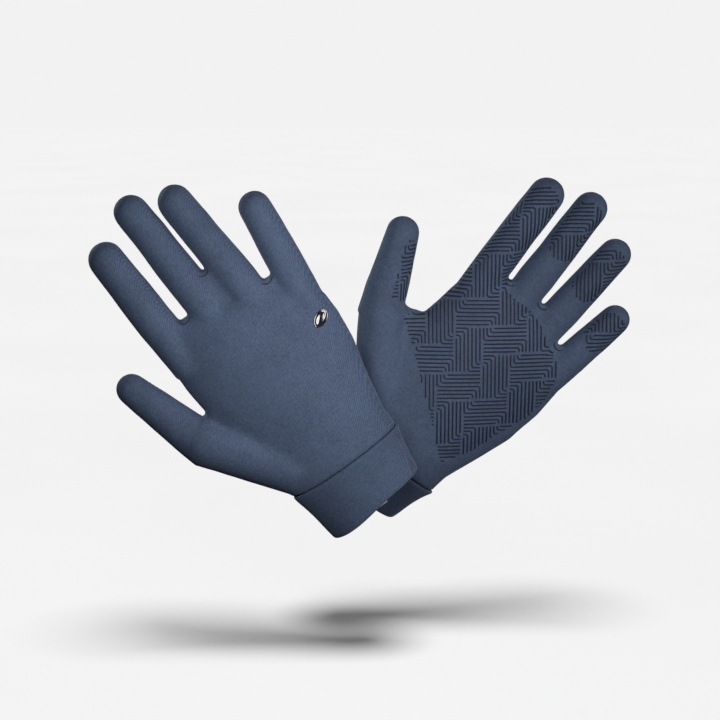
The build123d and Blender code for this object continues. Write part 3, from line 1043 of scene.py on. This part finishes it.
def lines_to_mesh(lines):
    choose(lines)
    bpy.ops.object.convert(target="CURVE")
    curve = bpy.context.object
    curve.data.dimensions = "3D"
    curve.data.bevel_depth = LINE_WIDTH / 2
    curve.data.bevel_resolution = 1
    curve.data.use_fill_caps = True
    bpy.ops.object.convert(target="MESH")
    return bpy.context.object


def press_on(side, lines):
    """Moves raised lines from the flat map to the skin of the palm."""
    points = positions(lines)
    heights = points[:, 1] / (LINE_WIDTH / 2)
    heights = np.where(heights > 0, heights * LINE_HEIGHT, heights * LINE_SUNK)
    flat = points * np.array((1, 0, 1))
    store_vectors(lines, "rest_place", flat)
    placed = np.zeros_like(points)
    for number, (spot, height) in enumerate(zip(wrap_round(side, flat), heights)):
        found, normal = find_skin(side, spot, PALM[side])
        if found is None:
            found, _, face, _ = trees[side].find_nearest(Vector((spot[0], PALM[side] * 2 * MM, spot[2])))
            found, normal = np.array(found), skin_normals[side][face]
        placed[number] = found + normal * height
    set_positions(lines, placed)
    bpy.ops.object.mode_set(mode="EDIT")
    bpy.ops.mesh.select_all(action="SELECT")
    bpy.ops.mesh.normals_make_consistent(inside=False)
    bpy.ops.object.mode_set(mode="OBJECT")
    bpy.ops.object.shade_smooth()


def print_pieces(side):
    pieces = {}
    for name, wanted in print_areas(side).items():
        lines = lines_to_mesh(trim_pattern(side, name, wanted))
        lines.name = f"{side}_{name}_print_lines"
        press_on(side, lines)
        pieces[name] = lines
        print(lines.name, len(lines.data.polygons), "faces")
    bpy.data.objects.remove(patterns[side])
    return pieces


prints = {side: print_pieces(side) for side in SIDES}

# %% [markdown]
# ## Badge and crotch stitches
# A small glossy badge sits on the back below the little finger. It has a plain shape here: an oval
# pad with a raised rim and a raised bar. The cloth between two fingers is caught by short arcs of
# thread, thin bent tubes that lie on the cloth under each crotch, on the back and on the palm.

# %% Model the badge
BADGE_PLACE = (39.0, 110.0)
BADGE_HALF = (3.4 * MM, 5.4 * MM)
BADGE_TURN = math.radians(-62)
BADGE_RISE = 0.75 * MM


def make_badge(side):
    """An oval pad with a rim and a bar, bent to the back of the hand."""
    bpy.ops.object.select_all(action="DESELECT")
    bpy.ops.mesh.primitive_circle_add(vertices=40, radius=1.0, fill_type="NGON")
    badge = bpy.context.object
    badge.name = f"{side}_oval_badge"
    bpy.ops.object.mode_set(mode="EDIT")
    bpy.ops.mesh.select_mode(type="FACE")
    bpy.ops.mesh.select_all(action="SELECT")
    bpy.ops.transform.resize(value=(*BADGE_HALF, 1))
    bpy.ops.mesh.extrude_region_move(TRANSFORM_OT_translate={"value": (0, 0, BADGE_RISE * 0.75)})
    bpy.ops.mesh.inset(thickness=0.18 * MM, depth=BADGE_RISE * 0.25)
    bpy.ops.mesh.inset(thickness=0.55 * MM, depth=0)
    bpy.ops.mesh.inset(thickness=0.18 * MM, depth=-BADGE_RISE * 0.32)
    bpy.ops.mesh.inset(thickness=0.9 * MM, depth=0)
    bpy.ops.mesh.inset(thickness=0.3 * MM, depth=BADGE_RISE * 0.2)
    bpy.ops.object.mode_set(mode="OBJECT")
    bend_badge(side, badge)
    return badge


def bend_badge(side, badge):
    points = positions(badge)
    back, turn = -PALM[side], BADGE_TURN
    across = points[:, 0] * math.cos(turn) - points[:, 1] * math.sin(turn) + BADGE_PLACE[0] * MM
    up = points[:, 0] * math.sin(turn) + points[:, 1] * math.cos(turn) + BADGE_PLACE[1] * MM
    placed = np.zeros_like(points)
    for number, (x, z, height) in enumerate(zip(across, up, points[:, 2])):
        found, normal = find_skin(side, (x, 0, z), back)
        placed[number] = found + normal * (height - 0.1 * MM)
    set_positions(badge, placed)
    store_vectors(badge, "rest_place", placed)
    bpy.ops.object.mode_set(mode="EDIT")
    bpy.ops.mesh.select_all(action="SELECT")
    bpy.ops.mesh.normals_make_consistent(inside=False)
    bpy.ops.object.mode_set(mode="OBJECT")
    finish_modifier(badge, "Soft edge", "BEVEL", width=0.1 * MM, segments=2, limit_method="ANGLE")
    bpy.ops.object.shade_smooth_by_angle(angle=math.radians(35))


badges = {side: make_badge(side) for side in SIDES}

# %% Model the stitches in the crotches
STITCH_RADIUS = 0.42 * MM
STITCH_REACH = 3.6 * MM  # half the width of the arc of thread
STITCH_ARC = 1.25  # half the arc, in radians
STITCH_FLATTENED = 0.8
STITCH_ABOVE = 0.1 * MM


def make_stitches(side):
    """Two arcs of thread under each crotch between the four fingers, on the back and on the palm."""
    arcs = []
    for first, second in zip(ROW, ROW[1:]):
        spot = crotches[side][first, second]
        middle = (fingers[side][first]["across"] + fingers[side][second]["across"]).normalized()
        rise = Vector((0, 1, 0)).cross(middle) * -1
        for facing in (1, -1):
            corners = []
            for angle in np.linspace(-STITCH_ARC, STITCH_ARC, 15):
                away = middle * math.sin(angle) - rise * math.cos(angle) * STITCH_FLATTENED
                found, normal = find_skin(side, spot + away * STITCH_REACH, facing)
                if found is not None:
                    corners.append(Vector(found + normal * STITCH_ABOVE))
            arcs.append(draw_path(corners))
    choose(*arcs)
    bpy.ops.object.join()
    bpy.ops.object.convert(target="CURVE")
    curve = bpy.context.object
    curve.data.dimensions = "3D"
    curve.data.bevel_depth = STITCH_RADIUS
    curve.data.bevel_resolution = 1
    curve.data.use_fill_caps = True
    bpy.ops.object.convert(target="MESH")
    stitches = bpy.context.object
    stitches.name = f"{side}_crotch_stitches"
    bpy.ops.object.shade_smooth()
    store_vectors(stitches, "rest_place", positions(stitches))
    return stitches


stitches = {side: make_stitches(side) for side in SIDES}


# %% [markdown]
# ## Knit, silicone, badge and label
# The cloth is a fine stretch knit. Its loops are far too small to model, so they are a bump: two sets
# of slanting waves cross in a lattice about as wide as a loop, and the same lattice paints shade into
# the hollows between the loops. The pattern reads each piece's stored place on the map, so it runs on
# from piece to piece and stays put when a finger bends. Large soft noise varies the colour as dye and
# stretch do, and a sheen gives the pale bloom of brushed fibres.

# %% Make the materials
KNIT_COLOUR = (0.049, 0.071, 0.124)
CUFF_COLOUR = (0.045, 0.066, 0.116)
LOOP = 0.66 * MM
WAVE_PERIOD = 2 * math.pi / 20  # of a wave texture at scale 1


def new_material(name):
    """A material with only its shader, which the caller sets up."""
    material = bpy.data.materials.new(name)
    material.use_nodes = True
    return material, material.node_tree.nodes["Principled BSDF"]


def add_node(material, kind, links=None, **settings):
    """A node with these settings, whose named inputs are linked to sockets or set to values."""
    node = material.node_tree.nodes.new(kind)
    for key, value in settings.items():
        setattr(node, key, value)
    for key, value in (links or {}).items():
        if isinstance(value, bpy.types.NodeSocket):
            material.node_tree.links.new(value, node.inputs[key])
        else:
            node.inputs[key].default_value = value
    return node


def set_shader(shader, **values):
    for key, value in values.items():
        shader.inputs[key.replace("_", " ")].default_value = value


def map_place(material):
    return add_node(material, "ShaderNodeAttribute", attribute_name="rest_place").outputs["Vector"]


def mix_colours(material, share, first, second, blend="MIX"):
    mixer = add_node(material, "ShaderNodeMix", data_type="RGBA", blend_type=blend)
    for socket, value in ((mixer.inputs[0], share), (mixer.inputs[6], first), (mixer.inputs[7], second)):
        if isinstance(value, bpy.types.NodeSocket):
            material.node_tree.links.new(value, socket)
        else:
            socket.default_value = value
    return mixer.outputs[2]


def soft_noise(material, size, detail=2.0):
    """Noise whose features are about this large."""
    links = {"Vector": map_place(material), "Scale": 1 / size, "Detail": detail}
    return add_node(material, "ShaderNodeTexNoise", links).outputs["Fac"]


def shade(colour, factor):
    return (*(channel * factor for channel in colour), 1)


def spread(material, value, low, high, from_low=0.3, from_high=0.7):
    """Maps a value to a new range."""
    links = {"Value": value, "From Min": from_low, "From Max": from_high, "To Min": low, "To Max": high}
    return add_node(material, "ShaderNodeMapRange", links).outputs["Result"]


def loop_lattice(material, size, slant, warp):
    """Two slanting sets of waves multiplied: one small rise for every loop of yarn."""
    waves = []
    for turn in (slant, -slant):
        links = {"Vector": map_place(material), "Rotation": (0.5, turn, 0.35)}
        turned = add_node(material, "ShaderNodeMapping", links).outputs["Vector"]
        links = {"Vector": turned, "Scale": WAVE_PERIOD / size, "Distortion": warp}
        waves.append(add_node(material, "ShaderNodeTexWave", links).outputs["Fac"])
    return add_node(
        material, "ShaderNodeMath", {0: waves[0], 1: waves[1]}, operation="MULTIPLY"
    ).outputs["Value"]


def knit_material(name, colour, size, slant):
    material, shader = new_material(name)
    lattice = loop_lattice(material, size, slant, 0.4)
    dye = mix_colours(
        material, spread(material, soft_noise(material, 26 * MM), 0, 1), shade(colour, 0.9), shade(colour, 1.1)
    )
    fibre = spread(material, soft_noise(material, 1.3 * MM, 4.0), 0.8, 1.2)
    # painted shade: the lattice darkens the colour in the hollows between the loops, where the bump is low
    loops = spread(material, lattice, 0.72, 1.2, 0.0, 0.8)
    fibre_tone_and_hollow_shade = add_node(material, "ShaderNodeMath", {0: fibre, 1: loops}, operation="MULTIPLY").outputs["Value"]
    fibre_and_hollow_shade_colour = add_node(
        material, "ShaderNodeCombineColor", {"Red": fibre_tone_and_hollow_shade, "Green": fibre_tone_and_hollow_shade, "Blue": fibre_tone_and_hollow_shade}
    ).outputs["Color"]
    colours = mix_colours(material, 1.0, dye, fibre_and_hollow_shade_colour, "MULTIPLY")
    material.node_tree.links.new(colours, shader.inputs["Base Color"])
    roughness = spread(material, soft_noise(material, 8 * MM), 0.72, 0.84)
    material.node_tree.links.new(roughness, shader.inputs["Roughness"])
    yarn = add_node(
        material, "ShaderNodeMath", {0: soft_noise(material, 0.9 * MM, 3.0), 1: lattice}, operation="ADD"
    ).outputs["Value"]
    bump = add_node(material, "ShaderNodeBump", {"Height": yarn, "Strength": 0.3, "Distance": 0.17 * MM})
    material.node_tree.links.new(bump.outputs["Normal"], shader.inputs["Normal"])
    set_shader(shader, Sheen_Weight=0.16, Sheen_Roughness=0.45, Specular_IOR_Level=0.22)
    shader.inputs["Sheen Tint"].default_value = (0.62, 0.72, 0.95, 1)
    return material


def silicone_material():
    material, shader = new_material("satin_silicone")
    tint = mix_colours(
        material, spread(material, soft_noise(material, 4 * MM, 3.0), 0, 1),
        (0.007, 0.011, 0.019, 1), (0.013, 0.018, 0.029, 1),
    )
    material.node_tree.links.new(tint, shader.inputs["Base Color"])
    roughness = spread(material, soft_noise(material, 2 * MM), 0.55, 0.68)
    material.node_tree.links.new(roughness, shader.inputs["Roughness"])
    links = {"Height": soft_noise(material, 0.7 * MM), "Strength": 0.25, "Distance": 0.08 * MM}
    bump = add_node(material, "ShaderNodeBump", links)
    material.node_tree.links.new(bump.outputs["Normal"], shader.inputs["Normal"])
    set_shader(shader, Specular_IOR_Level=0.22)
    return material


def badge_material():
    material, shader = new_material("black_gloss")
    cloudy = soft_noise(material, 2 * MM)
    tint = mix_colours(material, cloudy, (0.004, 0.005, 0.008, 1), (0.008, 0.009, 0.013, 1))
    material.node_tree.links.new(tint, shader.inputs["Base Color"])
    roughness = spread(material, soft_noise(material, 1.5 * MM, 3.0), 0.12, 0.22)
    material.node_tree.links.new(roughness, shader.inputs["Roughness"])
    set_shader(shader, Coat_Weight=0.5, Coat_Roughness=0.08)
    return material


def woven_material(name, colour, size, roughness):
    """A plain fine weave with painted light and shade on its threads, for the label and the thread."""
    material, shader = new_material(name)
    lattice = loop_lattice(material, size, math.radians(45), 0.1)
    # painted light and shade: the raised threads of the weave are lighter and the hollows between them darker
    raised = spread(material, lattice, 0, 1, 0, 0.8)
    colours = mix_colours(material, raised, shade(colour, 0.8), shade(colour, 1.15))
    material.node_tree.links.new(colours, shader.inputs["Base Color"])
    bump = add_node(material, "ShaderNodeBump", {"Height": lattice, "Strength": 0.4, "Distance": 0.08 * MM})
    material.node_tree.links.new(bump.outputs["Normal"], shader.inputs["Normal"])
    set_shader(shader, Roughness=roughness, Sheen_Weight=0.15, Specular_IOR_Level=0.3)
    return material


materials = {
    "knit": knit_material("stretch_knit", KNIT_COLOUR, LOOP, math.radians(32)),
    "cuff_knit": knit_material("folded_cuff_knit", CUFF_COLOUR, LOOP, math.radians(24)),
    "grip_print": silicone_material(),
    "badge": badge_material(),
    "care_label": woven_material("label_tape", (0.65, 0.66, 0.68), 0.35 * MM, 0.5),
    "thread": woven_material("sewing_thread", (0.012, 0.017, 0.028), 0.4 * MM, 0.75),
}
print("materials", ", ".join(material.name for material in materials.values()))

# %% [markdown]
# ## Put every piece in its place
# Up to here each glove stood upright in its own map. Now every mesh is carried to its place in the
# frame and takes its material. A piece that stays on one body is tied to it; cloth and print that
# cross a joint are left in their place without a body.

# %% Place the pieces and tie the ones on one body


def settle(side, piece, slot, bodies, zone=None, stands_for=()):
    """Places a piece, gives it its finish and ties it to its body, unless it has a zone; then it stays untied.
    """
    place = glove_map(side)
    piece.data.transform(place)
    piece.data.materials.clear()
    piece.data.materials.append(materials[slot])
    if zone is None:
        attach(piece, bodies[0])
    else:
        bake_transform(piece)
    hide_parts(*stands_for)


def settle_glove(side):
    hand = f"{side}_hand"
    for name, node in (("back", "back_panel"), ("palm", "palm_panel"), ("gusset", "thumb_gusset")):
        settle(side, knits[side][name], "knit", (hand,), None, (f"{side}_{node}",))
    for key, finger in fingers[side].items():
        near, far = f"{side}_{key}_near", f"{side}_{key}_far"
        for part, bodies, zone in (
            ("lower", (hand, near), finger["knuckle_zone"]), ("tip", (near, far), finger["middle_zone"])
        ):
            name = f"{key}_{part}"
            settle(side, knits[side][name], "knit", bodies, zone, (f"{side}_{name}",))
            if name in prints[side]:
                settle(side, prints[side][name], "grip_print", bodies, zone, (f"{side}_{name}_print",))
    settle(side, prints[side]["palm"], "grip_print", (hand,), None, (f"{side}_palm_print",))
    settle(side, cuffs[side], "cuff_knit", (hand,), None, (f"{side}_cuff_band",))
    settle(side, liners[side], "cuff_knit", (hand,), None, (f"{side}_cuff_liner",))
    settle(side, labels[side], "care_label", (hand,), None, (f"{side}_care_label",))
    settle(side, badges[side], "badge", (hand,), None, (f"{side}_badge",))
    settle(side, stitches[side], "thread", (hand,), None, (f"{side}_crotch_tacks",))


for side in SIDES:
    settle_glove(side)
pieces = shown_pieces()
print(len(pieces), "pieces")

# %% [markdown]
# ## Studio
# The gloves float above a pale floor that ends in air of the same grey, and throw two soft shadows on
# it. A small lamp close in front of the gloves gives most of the light on the cloth, so the light
# falls off towards the cuffs, and three weaker ones lift the sides. They are linked to the gloves
# alone, as studio lamps are flagged off the background. The lamp overhead lights the floor alone and
# makes the shadows.

# %% Floor
FLOOR_DROP = 0.085
FLOOR_GREY = 0.9
FLOOR_GLOW = 0.16
PAPER = 0.887


def make_floor():
    """A wide plane with a faint grain."""
    bpy.ops.object.select_all(action="DESELECT")
    bpy.ops.mesh.primitive_plane_add(size=24, location=(0, 0, -FLOOR_DROP))
    floor = bpy.context.object
    floor.name = "studio_floor"
    bpy.ops.object.transform_apply(location=True, rotation=True, scale=True)
    material, shader = new_material("studio_paper")
    grain = spread(material, add_node(
        material, "ShaderNodeTexNoise",
        {"Vector": add_node(material, "ShaderNodeTexCoord").outputs["Object"], "Scale": 3.0},
    ).outputs["Fac"], 0.985, 1.015)
    colours = add_node(
        material, "ShaderNodeCombineColor", {"Red": grain, "Green": grain, "Blue": grain}
    ).outputs["Color"]
    tinted = mix_colours(material, 1.0, colours, (FLOOR_GREY, FLOOR_GREY, FLOOR_GREY, 1), "MULTIPLY")
    material.node_tree.links.new(tinted, shader.inputs["Base Color"])
    set_shader(shader, Roughness=1.0, Specular_IOR_Level=0.0, Emission_Strength=FLOOR_GLOW)
    shader.inputs["Emission Color"].default_value = (1, 1, 1, 1)
    floor.data.materials.append(material)
    floor.visible_diffuse = False
    floor.visible_glossy = False
    return floor


floor = make_floor()

# %% Lamps


def add_lamp(name, kind, place, aim, power, size, colour=(1, 1, 1), only=None):
    """A lamp at a place, turned towards a point; only limits it to the objects of a collection."""
    data = bpy.data.lights.new(name, kind)
    data.energy = power
    data.color = colour
    if kind == "AREA":
        data.shape = "DISK"
        data.size = size
    else:
        data.angle = math.radians(size)
    lamp = bpy.data.objects.new(name, data)
    lamp.location = place
    lamp.rotation_euler = (Vector(aim) - Vector(place)).to_track_quat("-Z", "Y").to_euler()
    bpy.context.scene.collection.objects.link(lamp)
    lamp.visible_camera = False
    if only:
        lamp.light_linking.receiver_collection = only
    return lamp


lit = bpy.data.collections.new("lit_gloves")
for piece in pieces:
    lit.objects.link(piece)
lit_floor = bpy.data.collections.new("lit_floor")
lit_floor.objects.link(floor)
middle = (0.0, 0.02, 0.09)
add_lamp("overhead", "SUN", (0.05, -0.12, 1), (0, 0, 0), 2.58, 24, only=lit_floor)
add_lamp("key", "AREA", (-0.02, -0.24, 0.16), middle, 0.74, 0.12, (1.0, 0.99, 0.97), lit)
add_lamp("side", "AREA", (0.85, -0.5, 0.3), middle, 6, 0.4, (1.0, 0.99, 0.97), lit)
add_lamp("rim", "AREA", (-0.75, 0.6, 0.45), middle, 4, 0.3, (0.9, 0.95, 1.0), lit)
add_lamp("fill", "AREA", (0.1, -1.3, 0.4), middle, 1.1, 0.8, (0.94, 0.97, 1.0), lit)

world = bpy.data.worlds.new("studio_air")
bpy.context.scene.world = world
world.use_nodes = True
world.node_tree.nodes["Background"].inputs["Color"].default_value = (PAPER, PAPER, PAPER, 1)
world.cycles_visibility.diffuse = False
world.cycles_visibility.glossy = False
bpy.context.scene.view_settings.view_transform = "Standard"

# %% Camera
lens = bpy.data.cameras.new("camera")
lens.lens = 77
camera = bpy.data.objects.new("camera", lens)
camera.location = (-0.011, -0.8648, 0.2391)
camera.rotation_euler = (math.radians(80), 0, 0)
bpy.context.scene.collection.objects.link(camera)
bpy.context.scene.camera = camera
